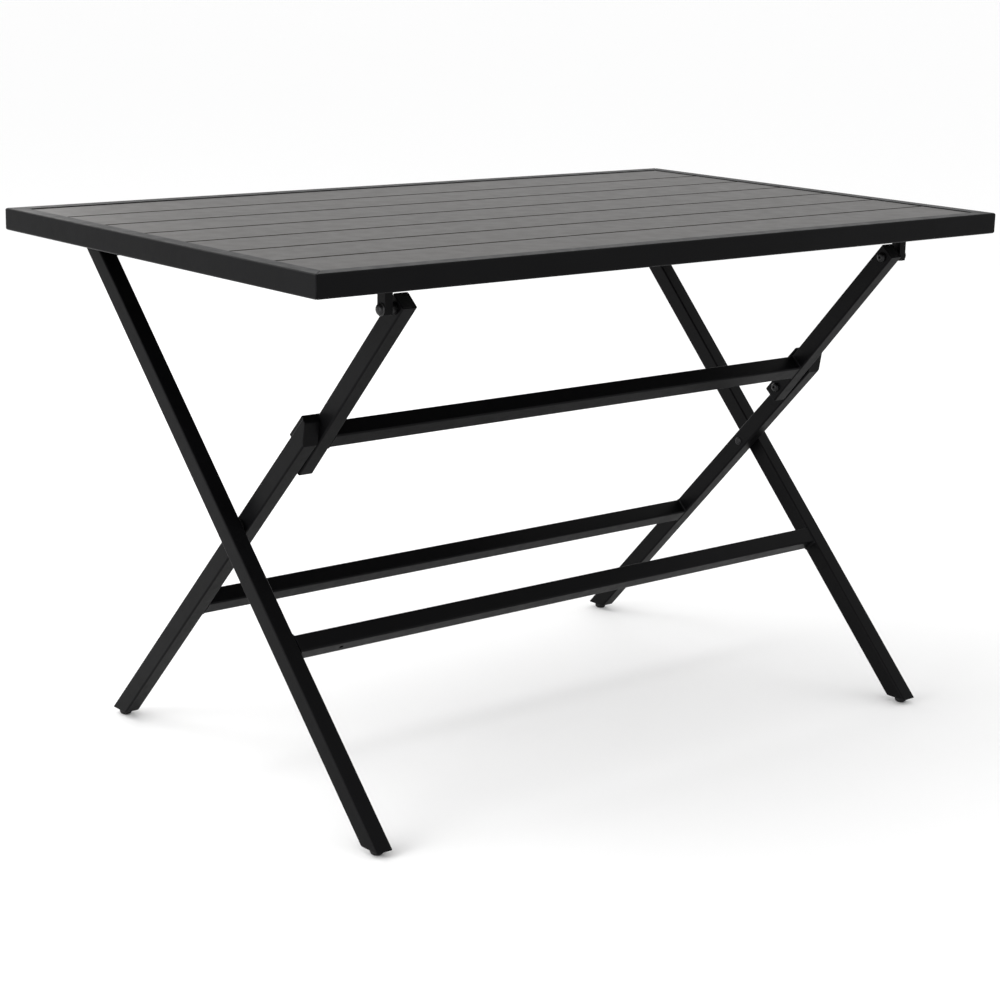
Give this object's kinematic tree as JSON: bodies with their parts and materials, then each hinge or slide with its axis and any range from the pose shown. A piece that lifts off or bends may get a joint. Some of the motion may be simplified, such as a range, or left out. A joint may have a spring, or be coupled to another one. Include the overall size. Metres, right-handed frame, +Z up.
{
  "type": "folding picnic table",
  "caption": "Folding slatted table: a framed rectangular top on two crossed pairs of tube legs, with hinged stays and a lift bar that lock it open and let it fold flat.",
  "frame": {"origin": "on the floor under the middle of the top, table standing open", "axes": "+Z up, +X along the length of the top, -Y towards the front, where the folded legs come out"},
  "size_m": [1.226, 0.724, 0.74],
  "materials": {
    "frame_coat": "satin black powder coat with a fine texture",
    "slat_coat": "satin black powder coat with a fine texture",
    "fastener_steel": "black coated steel",
    "black_plastic": "moulded black plastic"
  },
  "bodies": {
    "tabletop": {"top_rail_front": "frame_coat", "top_rail_back": "frame_coat", "top_rail_left": "frame_coat", "top_rail_right": "frame_coat", "top_slat_1": "slat_coat", "top_slat_2": "slat_coat", "top_slat_3": "slat_coat", "top_slat_4": "slat_coat", "top_slat_5": "slat_coat", "top_slat_6": "slat_coat", "top_slat_7": "slat_coat", "top_bearer_left": "frame_coat", "top_bearer_middle": "frame_coat", "top_bearer_right": "frame_coat", "hanger_lug_front_left": "frame_coat", "hanger_lug_back_left": "frame_coat", "front_pivot_bolt_left": "fastener_steel", "front_pivot_washer_left": "fastener_steel", "front_pivot_nut_left": "fastener_steel", "back_pivot_bolt_left": "fastener_steel", "back_pivot_washer_left": "fastener_steel", "hanger_lug_front_right": "frame_coat", "hanger_lug_back_right": "frame_coat", "front_pivot_bolt_right": "fastener_steel", "front_pivot_washer_right": "fastener_steel", "front_pivot_nut_right": "fastener_steel", "back_pivot_bolt_right": "fastener_steel", "back_pivot_washer_right": "fastener_steel"},
    "outer_frame": {"outer_crossbar": "frame_coat", "outer_leg_left": "frame_coat", "outer_leg_cap_left": "black_plastic", "foot_front_left": "black_plastic", "crossing_pin_left": "fastener_steel", "crossing_spacer_left": "black_plastic", "outer_leg_right": "frame_coat", "outer_leg_cap_right": "black_plastic", "foot_front_right": "black_plastic", "crossing_pin_right": "fastener_steel", "crossing_spacer_right": "black_plastic"},
    "inner_frame": {"inner_crossbar": "frame_coat", "inner_leg_left": "frame_coat", "inner_leg_cap_left": "black_plastic", "stop_tab_left": "frame_coat", "knee_insert_left": "fastener_steel", "foot_back_left": "black_plastic", "inner_leg_right": "frame_coat", "inner_leg_cap_right": "black_plastic", "stop_tab_right": "frame_coat", "knee_insert_right": "fastener_steel", "foot_back_right": "black_plastic"},
    "stay_frame": {"lift_bar": "frame_coat", "stay_left": "frame_coat", "stay_cap_upper_left": "black_plastic", "stay_cap_lower_left": "black_plastic", "knee_bolt_left": "fastener_steel", "stay_right": "frame_coat", "stay_cap_upper_right": "black_plastic", "stay_cap_lower_right": "black_plastic", "knee_bolt_right": "fastener_steel"}
  },
  "joints": [
    {"name": "outer_leg_fold", "type": "hinge", "parent": "tabletop", "child": "outer_frame", "pos_m": [0, 0.3025, 0.68], "axis": [-1, 0, 0], "range_deg": [0, 37.3]},
    {"name": "inner_leg_fold", "type": "hinge", "parent": "outer_frame", "child": "inner_frame", "pos_m": [0, -0.0105, 0.3515], "axis": [-1, 0, 0], "range_deg": [0, 78]},
    {"name": "stay_fold", "type": "hinge", "parent": "tabletop", "child": "stay_frame", "pos_m": [0, -0.3025, 0.68], "axis": [1, 0, 0], "range_deg": [0, 43.5]}
  ],
  "couplings": [
    {"joint": "inner_leg_fold", "follows": "outer_leg_fold", "ratio": 2.0889},
    {"joint": "stay_fold", "follows": "outer_leg_fold", "ratio": 1.1655}
  ]
}
